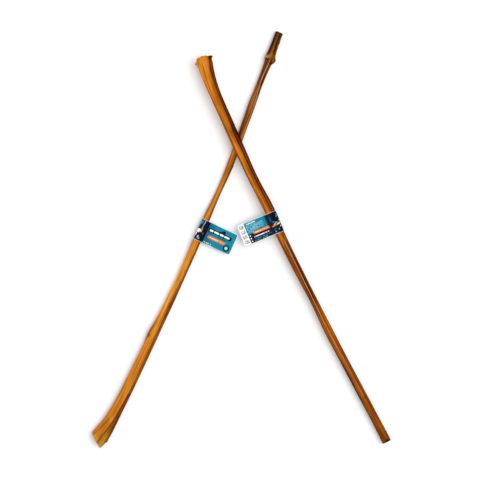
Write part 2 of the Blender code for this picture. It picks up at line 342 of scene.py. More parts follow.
def torn_rim(blank, profile, roughness, seed, end, notch=(0.0, 1.0, 0.0)):
    """Distance along to a torn rim: rows of (share of the half-width, extra length)."""
    share = side_share(blank)[-1 if end else 0]
    profile = np.array(profile)
    angle, width, depth = notch
    turn = (blank.angles - angle + 180.0) % 360.0 - 180.0
    extra = np.interp(share, profile[:, 0], profile[:, 1])
    nibbles = swells(blank.angles, np.array([0.5]), 24, 1.0, seed)[0]
    nibbles = nibbles + swells(blank.angles, np.array([0.5]), 48, 1.0, seed + 1)[0] * 0.6
    extra = extra + roughness * MM * nibbles + depth * MM * np.exp(-((turn / width) ** 2))
    return blank.length + extra - profile[:, 1].max() if end else extra


def stretch_to_rims(blank, first_rim, last_rim, first_span, last_span):
    """Slide the rows near each end so that the outermost ones land on the rims."""
    run = blank.alongs[:, None] + 0.0 * blank.angles[None, :]
    low, high = blank.alongs[0], blank.alongs[-1]
    share = np.clip((low + first_span - run) / first_span, 0.0, 1.0)
    run = run + share * (first_rim[None, :] - low)
    share = np.clip((run - (high - last_span)) / last_span, 0.0, 1.0)
    run = run + share * (last_rim[None, :] - high)
    blank.run = run


def dish(points, steps, inwards):
    """Rows of points from a rim to its middle: steps of (scale, sink in mm)."""
    middle = points.mean(axis=0)
    rows = []
    for scale, sink in steps:
        row = middle + scale * (points - middle)
        row[:, 1] += inwards * sink * MM
        rows.append(row)
    return rows


def flat_sheet(count, sides):
    """A flat grid of faces, with the row and the column of each of its points."""
    bpy.ops.object.select_all(action="DESELECT")
    bpy.ops.mesh.primitive_grid_add(x_subdivisions=sides - 1, y_subdivisions=count - 1, size=1.0)
    piece = bpy.context.object
    flat = np.array([vertex.co for vertex in piece.data.vertices])
    column = np.rint((flat[:, 0] + 0.5) * (sides - 1)).astype(int)
    row = np.rint((flat[:, 1] + 0.5) * (count - 1)).astype(int)
    return piece, row, column


def place_points(piece, points):
    """Move every point of a piece to its place."""
    piece.data.vertices.foreach_set("co", points.astype(np.float32).ravel())
    piece.data.update()


def note(piece, name, values):
    """Keep one number, or three, for every point of a piece, for its finish to read."""
    single = values.ndim == 1
    attribute = piece.data.attributes.new(name, "FLOAT" if single else "FLOAT_VECTOR", "POINT")
    attribute.data.foreach_set("value" if single else "vector", values.astype(np.float32).ravel())


def roll_stick(blank, first_dish, last_dish):
    """A closed mesh object from a blank's readings, with its colours as attributes."""
    across, up = np.cos(np.radians(blank.angles)), np.sin(np.radians(blank.angles))
    x = blank.middles[:, :1] + blank.radii * across
    z = blank.middles[:, 1:] + blank.radii * up
    body = np.stack([x, -blank.run, z], axis=2)
    opening = dish(body[0], first_dish, -1)[::-1]
    closing = dish(body[-1], last_dish, 1)
    rows = np.concatenate([opening, body, closing])
    rows = np.concatenate([rows, rows[:, :1]], axis=1)
    piece, row, column = flat_sheet(*rows.shape[:2])
    local = rows[row, column]
    world = blank.to_world(local)
    world[:, 2] = np.maximum(world[:, 2], 0.0)
    place_points(piece, world)

    sheets = {"tone": blank.tone, "dark": blank.dark, "gold": blank.gold, "pale": blank.pale}
    inner, outer = len(opening), len(opening) + len(body)
    for name, sheet in sheets.items():
        sheet = np.concatenate([sheet, sheet[:, :1]], axis=1)
        note(piece, name, sheet[np.clip(row - inner, 0, len(body) - 1), column])
    inside = np.where(row < inner, inner - row, np.where(row >= outer, row - outer + 1, 0))
    note(piece, "cut_end", (inside / 1.5).clip(0.0, 1.0))
    angle = np.radians(np.append(blank.angles, blank.angles[0]))[column]
    core = 0.009
    note(piece, "grain", np.stack([core * np.cos(angle), -local[:, 1], core * np.sin(angle)], axis=1))
    close_and_turn_out(piece)
    return piece


def paint_tone_and_edge_shade(blank, rows):
    """Broad light and dark: rows of (along, left edge, left, right, right edge), 0 to 1; the tissue's own
    tone, with painted shade where the edge columns are darker.
    """
    rows = np.array(rows)
    bands = [np.interp(blank.alongs, rows[:, 0], rows[:, band]) for band in range(1, 5)]
    bands = smoothed(np.array(bands).T, 5)
    spots = (-1.0, -0.4, 0.4, 1.0)
    shares = side_share(blank)
    blank.tone = np.array([np.interp(share, spots, band) for share, band in zip(shares, bands)])


# %% [markdown]
# ## The lower stick
#
# Its thin end is knotty: a torn collar ends in a pale rolled lip on one side and a drop on the
# other, and a furrow runs on from under it. Further down come a nub, small pits and a notch. The
# flared end is a splayed lobe folded over a second one, with a deep crease between them. The
# marks are pressed one by one, each at its own place along and round the stick.

# %% Lower stick: fibres and furrows
THIN_CUT_SLOPE = 0.30
lower = Blank("lower_stick", 96, 0.0019, 0.044, 0.074, 0.0009)
lower.feel(0.0045, 0.894)
# Along most of the stick the right edge column is darker than the middle ones: that is painted shade on
# the side away from the light. The rest is the tissue's own light and dark.
paint_tone_and_edge_shade(lower, (
    (0.00, 0.32, 0.36, 0.22, 0.54),
    (0.03, 0.20, 0.38, 0.28, 0.62),
    (0.05, 0.28, 0.48, 0.40, 0.60),
    (0.07, 0.32, 0.34, 0.42, 0.45),
    (0.10, 0.34, 0.38, 0.52, 0.42),
    (0.13, 0.44, 0.50, 0.58, 0.56),
    (0.16, 0.40, 0.52, 0.56, 0.56),
    (0.20, 0.44, 0.44, 0.60, 0.60),
    # Here the left band is painted darker as the upper stick's shadow, where it crosses over.
    (0.22, 0.40, 0.28, 0.72, 0.54),
    (0.24, 0.62, 0.72, 0.74, 0.40),
    (0.28, 0.50, 0.60, 0.66, 0.28),
    (0.31, 0.52, 0.62, 0.84, 0.46),
    (0.34, 0.54, 0.60, 0.98, 0.54),
    (0.40, 0.60, 0.70, 0.92, 0.38),
    (0.46, 0.62, 0.74, 0.80, 0.48),
    (0.50, 0.80, 0.82, 0.78, 0.42),
    (0.545, 0.84, 0.80, 0.80, 0.42),
    (0.58, 0.84, 0.80, 0.64, 0.28),
    (0.62, 0.80, 0.84, 0.80, 0.44),
    (0.66, 0.46, 0.76, 0.84, 0.42),
    (0.69, 0.70, 0.78, 0.76, 0.44),
    (0.75, 0.68, 0.78, 0.84, 0.36),
    (0.80, 0.56, 0.68, 0.88, 0.24),
    (0.84, 0.54, 0.66, 0.86, 0.20),
    (0.87, 0.60, 0.70, 0.74, 0.36),
    (0.915, 0.74, 0.80, 0.74, 0.52),
))
press_fibres(lower, 11, ((13, 0.16, 0.22), (29, 0.09, 0.14), (47, 0.035, 0.07)))
# The darkening along each furrow is painted shade.
lower.crease(((0.000, 126, 0.3), (0.030, 128, 0.5), (0.050, 134, 0.4)), 1.8, dark=0.6)
lower.crease(((0.000, 66, 0.3), (0.030, 62, 0.5), (0.050, 56, 0.4)), 1.7, dark=0.65)
lower.crease(((0.058, 60, 0.6), (0.075, 56, 1.1), (0.095, 58, 0.8), (0.135, 44, 0.3)), 1.1, dark=0.7)
lower.crease(((0.062, 120, 0.3), (0.090, 118, 0.5), (0.118, 112, 0.3)), 1.0, dark=0.3)
lower.crease(((0.110, 84, 0.3), (0.170, 80, 0.5), (0.215, 76, 0.3)), 0.8, dark=0.4)
lower.crease(((0.150, 112, 0.2), (0.190, 118, 0.4), (0.235, 116, 0.3)), 0.9, dark=0.35)
lower.crease(((0.235, 60, 0.3), (0.300, 48, 0.5), (0.380, 44, 0.4), (0.470, 46, 0.3)), 1.1, dark=0.3)
lower.crease(((0.540, 62, 0.3), (0.585, 58, 0.6), (0.640, 52, 0.4)), 1.6, dark=0.35)
lower.crease(((0.640, 44, 0.3), (0.720, 40, 0.5), (0.800, 48, 0.5), (0.840, 62, 0.4)), 1.5, dark=0.35)

# %% Lower stick: knots and collar
# The pits, dents and the notch, and the hollows under the collar, are painted darker as shade.
lower.lump(0.0070, 168, 2.5, 3.0, 0.5)
lower.lump(0.0215, 10, 2.4, 2.0, 1.3, gold=0.2)
lower.lump(0.0570, 150, 2.0, 4.0, 1.1, pale=0.75)
lower.lump(0.0540, 112, 1.6, 3.0, 0.8, pale=0.4, gold=0.3)
lower.lump(0.0500, 78, 4.0, 3.6, 0.4, gold=0.5)
lower.lump(0.0590, 22, 3.2, 4.2, 1.5, gold=0.25)
lower.lump(0.0668, 24, 2.0, 4.4, -1.2, dark=0.3)
lower.lump(0.0660, 44, 1.5, 3.8, -0.9, dark=0.5)
lower.lump(0.0615, 140, 1.5, 4.0, -0.8, dark=0.5)
lower.lump(0.2880, 14, 2.6, 2.0, 0.9, dark=0.35)
lower.lump(0.4970, 46, 2.2, 1.2, -0.4, dark=0.4)
lower.lump(0.5200, 71, 2.0, 1.0, -0.4, dark=0.4)
lower.lump(0.5440, 57, 2.2, 1.1, -0.4, dark=0.4)
lower.lump(0.5980, 66, 9.0, 3.0, -0.3, dark=0.25)
lower.lump(0.6150, 40, 9.0, 3.5, -0.3, dark=0.30)
lower.lump(0.6600, 150, 4.5, 3.5, 0.7)
lower.lump(0.6680, 145, 3.2, 3.6, -0.7, dark=0.4)
lower.tint(lower.gold, ((0.001, 97), (0.030, 96), (0.054, 84)), 2.4, 0.7)
lower.tint(lower.gold, ((0.012, 12), (0.030, 16), (0.056, 20)), 2.0, 0.5)
lower.tint(lower.pale, ((0.118, 62), (0.150, 58), (0.200, 48), (0.235, 50)), 1.1, 0.45)
lower.tint(lower.pale, ((0.125, 96), (0.150, 98), (0.175, 98)), 0.9, 0.3)
lower.tint(lower.gold, ((0.845, 100), (0.915, 120)), 9.0, 0.3)

# %% Lower stick: the folded flare
# The flare's creases are darkened with painted shade.
lower.crease((
    (0.790, 40, 0.3), (0.830, 46, 0.9), (0.846, 50, 1.2), (0.862, 50, 1.7), (0.884, 57, 2.0),
    (0.900, 70, 2.2), (0.917, 88, 2.4),
), 1.9, dark=0.72)
lower.crease(((0.852, 120, 0.4), (0.880, 146, 0.9), (0.905, 159, 1.4)), 1.3, dark=0.45)
lower.crease(((0.838, 34, 0.2), (0.862, 34, 0.4), (0.884, 42, 0.5), (0.902, 54, 0.4)), 2.4, dark=0.42)
# These two raised lumps and the row of small ridges are painted lighter on top, a painted highlight, and
# given a golden tint.
lower.lump(0.8530, 84, 5.0, 2.6, 0.5, gold=0.2, dark=-0.3)
lower.lump(0.9060, 118, 6.0, 5.0, 0.3, gold=0.3, dark=-0.2)
lower.tint(lower.gold, ((0.882, 26), (0.895, 34), (0.919, 50)), 4.4, 0.7)
for step in range(9):
    lower.lump(0.852 + 0.0060 * step, 22 + 2 * step, 1.3, 4.5, 0.25, gold=0.3, dark=-0.12)
first_rim = cut_rim(lower, THIN_CUT_SLOPE, end=False)
FLARE_TEAR = ((-1.0, 0.000), (0.53, 0.021), (0.80, 0.0105), (0.86, 0.006), (1.0, 0.004))
last_rim = torn_rim(lower, FLARE_TEAR, 0.35, 31, end=True) + 0.0006
stretch_to_rims(lower, first_rim, last_rim, 0.012, 0.022)
THIN_DISH = ((0.97, 0.05), (0.90, -0.15), (0.70, -0.5), (0.45, -0.9), (0.20, -1.3), (0.0, -1.4))
CUT_DISH = tuple((scale, -sink) for scale, sink in THIN_DISH)
HOLLOW = ((0.94, 0.3), (0.88, 1.6), (0.74, 4.0), (0.52, 6.0), (0.26, 7.2), (0.0, 7.5))
lower_stick = roll_stick(lower, CUT_DISH, HOLLOW)
finish_piece(lower_stick, "lower_dried_stick", 60.0)
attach(lower_stick, "lower_stick")
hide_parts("lower_stick")

# %% [markdown]
# ## The upper stick
#
# It's made the same way. Its flared end is torn square across, with a small flap at one side and
# a hollow mouth painted dark as shade. One deep furrow runs down its right side as far as the
# label, painted nearly black as shade. Below the label the tissue is darker and more even, with
# finer furrows beside the dried strand.

# %% Upper stick: fibres and furrows
upper = Blank("upper_stick", 96, 0.0019, 0.004, 0.030, 0.0010)
upper.feel(0.0155, upper.length - 0.0045)
# As on the lower stick, the darker edge columns are painted shade: the right edge along most of the
# stick, and the left edge too towards the thin end.
paint_tone_and_edge_shade(upper, (
    (0.00, 0.66, 0.90, 0.90, 0.60),
    (0.03, 0.58, 0.84, 0.66, 0.24),
    (0.06, 0.60, 0.84, 0.64, 0.22),
    (0.10, 0.56, 0.78, 0.68, 0.26),
    (0.14, 0.52, 0.68, 0.66, 0.30),
    # The dip in the right band here is painted shade in the deep furrow.
    (0.165, 0.46, 0.62, 0.44, 0.26),
    (0.19, 0.54, 0.80, 0.58, 0.30),
    (0.21, 0.38, 0.76, 0.62, 0.26),
    (0.25, 0.40, 0.70, 0.54, 0.28),
    (0.32, 0.46, 0.64, 0.46, 0.36),
    (0.40, 0.50, 0.60, 0.56, 0.42),
    (0.44, 0.42, 0.48, 0.56, 0.38),
    (0.50, 0.48, 0.50, 0.58, 0.42),
    (0.56, 0.40, 0.50, 0.70, 0.50),
    (0.60, 0.46, 0.54, 0.66, 0.54),
    (0.64, 0.36, 0.54, 0.62, 0.46),
    (0.72, 0.22, 0.54, 0.60, 0.42),
    (0.80, 0.18, 0.46, 0.52, 0.40),
    (0.86, 0.20, 0.44, 0.50, 0.42),
))
press_fibres(upper, 57, ((15, 0.15, 0.24), (31, 0.08, 0.15), (51, 0.035, 0.08)))
# The darkening along each furrow is painted shade.
upper.crease((
    (0.000, 18, 0.3), (0.012, 28, 0.7), (0.027, 43, 1.0), (0.061, 45, 1.0), (0.100, 46, 0.8),
    (0.138, 53, 1.0), (0.163, 71, 1.6), (0.184, 64, 1.4), (0.200, 61, 1.2), (0.260, 60, 1.0),
    (0.345, 60, 0.9),
), 1.5, dark=0.62)
upper.crease(((0.010, 119, 0.8), (0.020, 121, 0.8), (0.040, 124, 0.5), (0.070, 128, 0.2)), 0.9, dark=0.4)
upper.crease(((0.050, 24, 0.4), (0.150, 28, 0.6), (0.260, 30, 0.5), (0.340, 32, 0.4)), 1.6, dark=0.2)
upper.crease(((0.060, 96, 0.2), (0.120, 92, 0.3), (0.200, 98, 0.3), (0.300, 94, 0.3)), 0.8, dark=0.15)
upper.crease((
    (0.385, 58, 0.6), (0.438, 54, 1.0), (0.478, 60, 1.0), (0.519, 70, 0.9), (0.560, 70, 0.7),
    (0.620, 60, 0.6), (0.690, 57, 0.5), (0.740, 57, 0.5), (0.800, 62, 0.2),
), 1.3, dark=0.45)
upper.crease((
    (0.405, 50, 0.6), (0.438, 52, 1.2), (0.478, 59, 1.2), (0.519, 68, 1.0), (0.545, 68, 0.6),
), 1.6, dark=0.8)
upper.crease(((0.400, 100, 0.4), (0.500, 106, 0.5), (0.575, 112, 0.3)), 1.1, dark=0.35)
upper.crease(((0.600, 118, 0.2), (0.700, 122, 0.4), (0.800, 116, 0.2)), 1.0, dark=0.2)

# %% Upper stick: marks
# The pit by the knot, the hollow at the thin end and the dent in the deep furrow are painted darker as
# shade.
upper.lump(0.7575, 76, 2.4, 1.3, -0.4, dark=0.5)
upper.lump(upper.length - 0.0050, 72, 2.6, 2.6, -0.9, dark=1.1)
upper.lump(0.1550, 60, 9.0, 3.0, -0.3, dark=0.35)
upper.tint(upper.pale, ((0.600, 92), (0.650, 86), (0.690, 80), (0.755, 86)), 1.1, 0.35)
upper.tint(upper.gold, ((0.000, 150), (0.030, 148)), 3.0, 0.45)
upper.lump(0.0055, 2, 3.2, 6.0, 5.0)
upper.lump(0.0050, 178, 1.9, 3.4, 3.0, gold=0.3)
# Under the flap, inside the lip at the right and along the crease under the rim, the pits are painted
# darker as shade.
upper.lump(0.0056, 152, 1.0, 2.4, -0.5, dark=0.6)
upper.lump(0.0110, 150, 1.8, 1.6, -0.6, dark=0.5)
upper.lump(0.0070, 132, 1.2, 3.0, -0.5, dark=0.45)
upper.lump(0.0050, 24, 3.0, 3.0, -0.3, dark=0.5)
for angle in (112, 96, 80, 64):
    upper.lump(0.0078 - 0.00008 * angle, angle, 1.0, 2.6, -0.35, dark=0.22)
# Small pits over the thick half, each painted darker as shade.
specks = np.random.default_rng(5)
for _ in range(34):
    along, angle = specks.uniform(0.04, 0.35), specks.uniform(25, 155)
    upper.lump(along, angle, specks.uniform(1.0, 2.2), specks.uniform(0.5, 0.9), -0.22, dark=0.28)
MOUTH_TEAR = (
    (-1.0, 0.0047), (-0.88, 0.0037), (-0.77, 0.0032), (-0.68, 0.0002), (-0.61, -0.0026), (-0.50, -0.0031),
    (0.00, -0.0022), (0.35, -0.0008), (0.70, 0.0012), (0.90, 0.0028), (1.0, 0.0042),
)
first_rim = torn_rim(upper, MOUTH_TEAR, 0.35, 41, end=False, notch=(24.0, 12.0, 3.6))
last_rim = cut_rim(upper, THIN_CUT_SLOPE, end=True)
stretch_to_rims(upper, first_rim, last_rim, 0.018, 0.012)
MOUTH = ((0.93, 0.3), (0.86, 1.4), (0.72, 3.5), (0.50, 5.5), (0.25, 6.6), (0.0, 7.0))
CUT_MOUTH = ((0.96, -0.05), (0.88, 0.2), (0.62, 0.6), (0.45, 2.4), (0.2, 3.4), (0.0, 3.6))
upper_stick = roll_stick(upper, MOUTH, CUT_MOUTH)
finish_piece(upper_stick, "upper_dried_stick", 60.0)
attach(upper_stick, "upper_stick")
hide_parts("upper_stick")

# %% [markdown]
# ## The tissue's finish
#
# Dried tissue is brown glass and leather at once: amber where it is thick and smooth, olive where
# it dried thin. Deep in a furrow it is painted nearly black, as shade. Image textures could give
# that, but here everything comes from the sheets of readings and from noise stretched along the
# grain. A colour ramp turns one number, the tone, into the whole family of browns, so light and
# dark always belong together. The tone and the dark sheet carry painted shade, and in a few
# places a painted highlight, besides the tissue's own colour. Bump adds the fine fibres and pores
# that are too small to model.


# %% Drawing with nodes
class Nodes:
    """A material's node tree, with short calls that return the socket they made."""

    def __init__(self, name, **shader_values):
        self.material = bpy.data.materials.new(name)
        self.material.use_nodes = True
        self.tree = self.material.node_tree
        self.shader = self.tree.nodes["Principled BSDF"]
        for socket, value in shader_values.items():
            self.shader.inputs[socket.replace("_", " ")].default_value = value

    def add(self, kind, inputs=(), output=0, **settings):
        node = self.tree.nodes.new(kind)
        for key, value in settings.items():
            setattr(node, key, value)
        for socket, value in inputs:
            if isinstance(value, bpy.types.NodeSocket):
                self.tree.links.new(value, node.inputs[socket])
            else:
                node.inputs[socket].default_value = value
        return node.outputs[output]

    def math(self, operation, *values, clamp=False):
        return self.add("ShaderNodeMath", enumerate(values), operation=operation, use_clamp=clamp)

    def vector(self, operation, *values, output=0):
        return self.add("ShaderNodeVectorMath", enumerate(values), output, operation=operation)

    def attribute(self, name, output="Fac"):
        return self.add("ShaderNodeAttribute", output=output, attribute_name=name)

    def noise(self, place, scale, detail=3.0, stretch=(1.0, 1.0, 1.0)):
        place = self.vector("MULTIPLY", place, stretch)
        inputs = (("Vector", place), ("Scale", scale), ("Detail", detail))
        return self.add("ShaderNodeTexNoise", inputs)

    def spread(self, value, low, high, to_low=0.0, to_high=1.0):
        """Stretch a value from one range to another, clamped."""
        inputs = ((0, value), (1, low), (2, high), (3, to_low), (4, to_high))
        return self.add("ShaderNodeMapRange", inputs)

    def mix(self, share, under, over, blend="MIX"):
        inputs = ((0, share), (6, under), (7, over))
        return self.add("ShaderNodeMix", inputs, 2, data_type="RGBA", blend_type=blend)

    def ramp(self, value, stops):
        node = self.tree.nodes.new("ShaderNodeValToRGB")
        self.tree.links.new(value, node.inputs[0])
        elements = node.color_ramp.elements
        while len(elements) < len(stops):
            elements.new(0.5)
        for element, (position, colour) in zip(elements, stops):
            element.position = position
            element.color = (*colour, 1.0)
        return node.outputs[0]

    def bump(self, height, strength, distance, under=None):
        inputs = [("Height", height), ("Strength", strength), ("Distance", distance)]
        if under is not None:
            inputs.append(("Normal", under))
        return self.add("ShaderNodeBump", inputs)

    def into(self, socket, value):
        self.tree.links.new(value, self.shader.inputs[socket])


# %% Dried tissue
BROWNS = (
    (0.00, (0.008, 0.003, 0.001)),
    (0.20, (0.050, 0.010, 0.001)),
    (0.40, (0.170, 0.036, 0.001)),
    (0.60, (0.350, 0.096, 0.002)),
    (0.80, (0.560, 0.190, 0.012)),
    (1.00, (0.780, 0.330, 0.045)),
)
OLIVE_GOLD = (0.47, 0.25, 0.020)
DRY_PALE = (0.60, 0.36, 0.16)
# Near-black browns for the dished ends: the cut tissue's own dark brown, deepened as painted shade inside
# the hollows.
END_BROWNS_AND_HOLLOW_SHADE = (
    (0.30, (0.022, 0.003, 0.001)),
    (0.55, (0.055, 0.009, 0.002)),
    (0.80, (0.140, 0.040, 0.010)),
)


def tissue(name, seed, redness):
    """Dried tissue with lengthwise fibres; redness shifts it from amber to russet."""
    n = Nodes(name, IOR=1.45, Specular_IOR_Level=0.05)
    grain = n.vector("ADD", n.attribute("grain", "Vector"), (seed, 0.0, 0.0))
    fibres = n.noise(grain, 1.0, 4.0, (900.0, 22.0, 900.0))
    streaks = n.noise(grain, 1.0, 3.0, (330.0, 9.0, 330.0))
    clouds = n.noise(grain, 1.0, 2.0, (90.0, 30.0, 90.0))
    pores = n.noise(grain, 1.0, 2.0, (1500.0, 800.0, 1500.0))

    # The tone sheet holds the tissue's own light and dark, with painted shade along the darker edges and
    # painted shadow where the upper stick crosses the lower.
    tone = n.attribute("tone")
    tone = n.math("ADD", tone, n.spread(streaks, 0.3, 0.7, -0.15, 0.15))
    tone = n.math("ADD", tone, n.spread(fibres, 0.3, 0.7, -0.10, 0.10))
    tone = n.math("ADD", tone, n.spread(clouds, 0.3, 0.7, -0.05, 0.05))
    # The dark sheet takes the tone down: painted shade, and a painted highlight where it is negative.
    tone = n.math("SUBTRACT", tone, n.math("MULTIPLY", n.attribute("dark"), 0.55))
    colour = n.ramp(n.math("MAXIMUM", tone, 0.0), BROWNS)
    light = n.spread(tone, 0.2, 0.8, 0.35, 1.0)
    gold = n.mix(light, (0.0, 0.0, 0.0, 1.0), (*OLIVE_GOLD, 1.0))
    colour = n.mix(n.math("MULTIPLY", n.attribute("gold"), 0.8, clamp=True), colour, gold)
    pale = n.math("MULTIPLY", n.attribute("pale"), n.spread(fibres, 0.3, 0.6, 0.5, 1.0), clamp=True)
    colour = n.mix(pale, colour, (*DRY_PALE, 1.0))
    colour = n.mix(redness, colour, (1.0, 0.66, 0.60, 1.0), "MULTIPLY")
    specks = n.spread(pores, 0.68, 0.76, 0.0, 0.55)
    colour = n.mix(specks, colour, (0.05, 0.015, 0.004, 1.0))
    # The dished ends take these browns, deepened as painted shade in the hollows.
    colour = n.mix(n.attribute("cut_end"), colour, n.ramp(fibres, END_BROWNS_AND_HOLLOW_SHADE))
    n.into("Base Color", colour)
    rough = n.math("MULTIPLY", n.attribute("dark"), 0.2)
    n.into("Roughness", n.math("ADD", n.spread(streaks, 0.3, 0.7, 0.42, 0.56), rough))
    fine = n.bump(fibres, 0.5, 0.0005)
    n.into("Normal", n.bump(pores, 0.15, 0.0002, fine))
    print(f"{name}: {len(n.tree.nodes)} nodes")
    return n.material


def paint(piece, *materials):
    """Put these materials in a piece's slots, keeping which face uses which."""
    slots = piece.data.materials
    while len(slots) < len(materials):
        slots.append(None)
    for index, material in enumerate(materials):
        slots[index] = material


paint(lower_stick, tissue("amber_tissue", 0.0, 0.0))
paint(upper_stick, tissue("russet_tissue", 0.35, 0.22))

# %% [markdown]
# ## The dried strands
#
# A pale strand of sinew lies along each stick, part sunk in a furrow. A plain tube would look
# like a wire, so the strand is a tube of many rings whose radius, flatness and twist change along
# it, with lengthwise ridges. Its path is read from the middle of the plain strand's sections.


# %% Laying a strand
def lay_strand(node, blank, name, lead, thinning, seed):
    """A ridged, flattened strand on the shaped stick, along a plain strand's path."""
    back = blank.place.inverted()
    corners = np.array([back @ vertex.co for vertex in frame["nodes"][node].data.vertices])
    alongs = -corners[:, 1]
    places = np.linspace(alongs.min() - lead * MM, alongs.max(), 150)
    stations = np.linspace(alongs.min(), alongs.max(), 16)
    middles = [corners[np.abs(alongs - station) < 0.006, 0].mean() for station in stations]
    x = smoothed(np.interp(places, stations, middles)[:, None], 6)
    z = np.array([blank.top_at(along, across) for along, across in zip(places, x[:, 0])])
    z = smoothed(z[:, None], 5)
    share = np.linspace(0.0, 1.0, len(places))[:, None]
    taper = np.clip(np.minimum(share, 1 - share) * 9.0, 0.0, 1.0) ** 0.5
    angles = np.arange(20) * 18.0
    ridges = swells(angles, places, 7, 0.03, seed) * 0.10
    ridges = ridges + swells(angles, places, 10, 0.012, seed + 1) * 0.06
    thick = swells(np.zeros(1), places, 2, 0.035, seed + 2) * 0.18
    radius = 0.0012 * taper * (1.0 - thinning * share) * (1.0 + ridges + thick)
    turn = np.radians(angles[None, :])
    rows = np.stack([
        x + radius * 1.1 * np.cos(turn),
        -places[:, None] + 0.0 * turn,
        z - 0.0002 + radius * 0.8 * np.sin(turn),
    ], axis=2)
    rows = np.concatenate([rows, rows[:, :1]], axis=1)
    piece, row, column = flat_sheet(*rows.shape[:2])
    place_points(piece, blank.to_world(rows[row, column]))
    core, angle = 0.0015, turn[0][column % 20]
    note(piece, "grain", np.stack([core * np.cos(angle), places[row], core * np.sin(angle)], axis=1))
    close_and_turn_out(piece)
    finish_piece(piece, name, 70.0)
    return piece


def sinew_finish():
    """Pale dried sinew: straw-coloured, with fine darker fibres."""
    n = Nodes("pale_sinew", IOR=1.45, Specular_IOR_Level=0.3)
    place = n.attribute("grain", "Vector")
    fibres = n.noise(place, 1.0, 4.0, (1600.0, 45.0, 1600.0))
    blotches = n.noise(place, 1.0, 2.0, (300.0, 90.0, 300.0))
    straw = ((0.25, (0.22, 0.085, 0.022)), (0.55, (0.46, 0.22, 0.085)), (0.8, (0.62, 0.38, 0.19)))
    colour = n.ramp(fibres, straw)
    colour = n.mix(n.spread(blotches, 0.45, 0.7, 0.0, 0.6), colour, (0.28, 0.10, 0.02, 1.0))
    n.into("Base Color", colour)
    n.into("Roughness", n.spread(fibres, 0.3, 0.7, 0.62, 0.42))
    n.into("Normal", n.bump(fibres, 0.4, 0.0004))
    return n.material


sinew = sinew_finish()
lower_strand = lay_strand("lower_sinew", lower, "lower_pale_strand", 13.0, 0.2, 71)
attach(lower_strand, "lower_stick")
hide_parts("lower_sinew")
paint(lower_strand, sinew)
upper_strand = lay_strand("upper_sinew", upper, "upper_pale_strand", 0.0, 0.45, 81)
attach(upper_strand, "upper_stick")
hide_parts("upper_sinew")
paint(upper_strand, sinew)

# %% [markdown]
# ## The paper labels
#
# Each label is one strip of paper: out along the flag's top leaf, over the stick, and back along
# the leaf underneath. The plain model splits it where the flag folds, but paper doesn't end at
# a fold, so here it's a single sheet. The wrap is felt with rays like the sticks. A sheet
# attribute keeps every point's place on the unfolded strip, and the print is drawn on that.

# %% Folding a strip
LEAF_LENGTH = 61.0
LEAF_WIDTH = 44.4
LEAF_CORNER = 3.6
PAPER = 0.25
joints = {joint["name"]: joint for joint in frame["joints"]}


def fold_frame(label, outward_sign):
    """The crease's place, and the directions outwards, along the crease and up."""
    joint = joints[f"{label}_label_fold"]
    along = Vector(joint["axis"])
    along = along if along.y > 0 else -along
    out = along.cross(Vector((0, 0, 1))).normalized() * outward_sign
    up = out.cross(along).normalized()
    return Vector(joint["pos_m"]), out, along, up if up.z > 0 else -up


def feel_wrap(label, place, across_rows, middle):
    """The wrap's outline in the fold's frame: (outward, up) in mm, row by row."""
    crease, out, along, up = place
    mesh = frame["nodes"][f"{label}_label_wrap"].data
    corners = [vertex.co for vertex in mesh.vertices]
    tree = BVHTree.FromPolygons(corners, [face.vertices[:] for face in mesh.polygons])
    angles = np.radians(np.linspace(12.0, 348.0, 97))
    outlines = []
    for across in across_rows:
        core = crease + along * across * MM + out * middle * MM
        top = FAR - hit(tree, core + up * FAR, -up)
        bottom = hit(tree, core - up * FAR, up) - FAR
        core = core + up * (top + bottom) / 2
        outline = []
        for angle in angles:
            ray = out * math.cos(angle) + up * math.sin(angle)
            reach = FAR - hit(tree, core + ray * FAR, -ray)
            spot = core + ray * reach - crease
            outline.append((spot.dot(out) / MM, spot.dot(up) / MM))
        outlines.append(outline)
    return np.array(outlines)


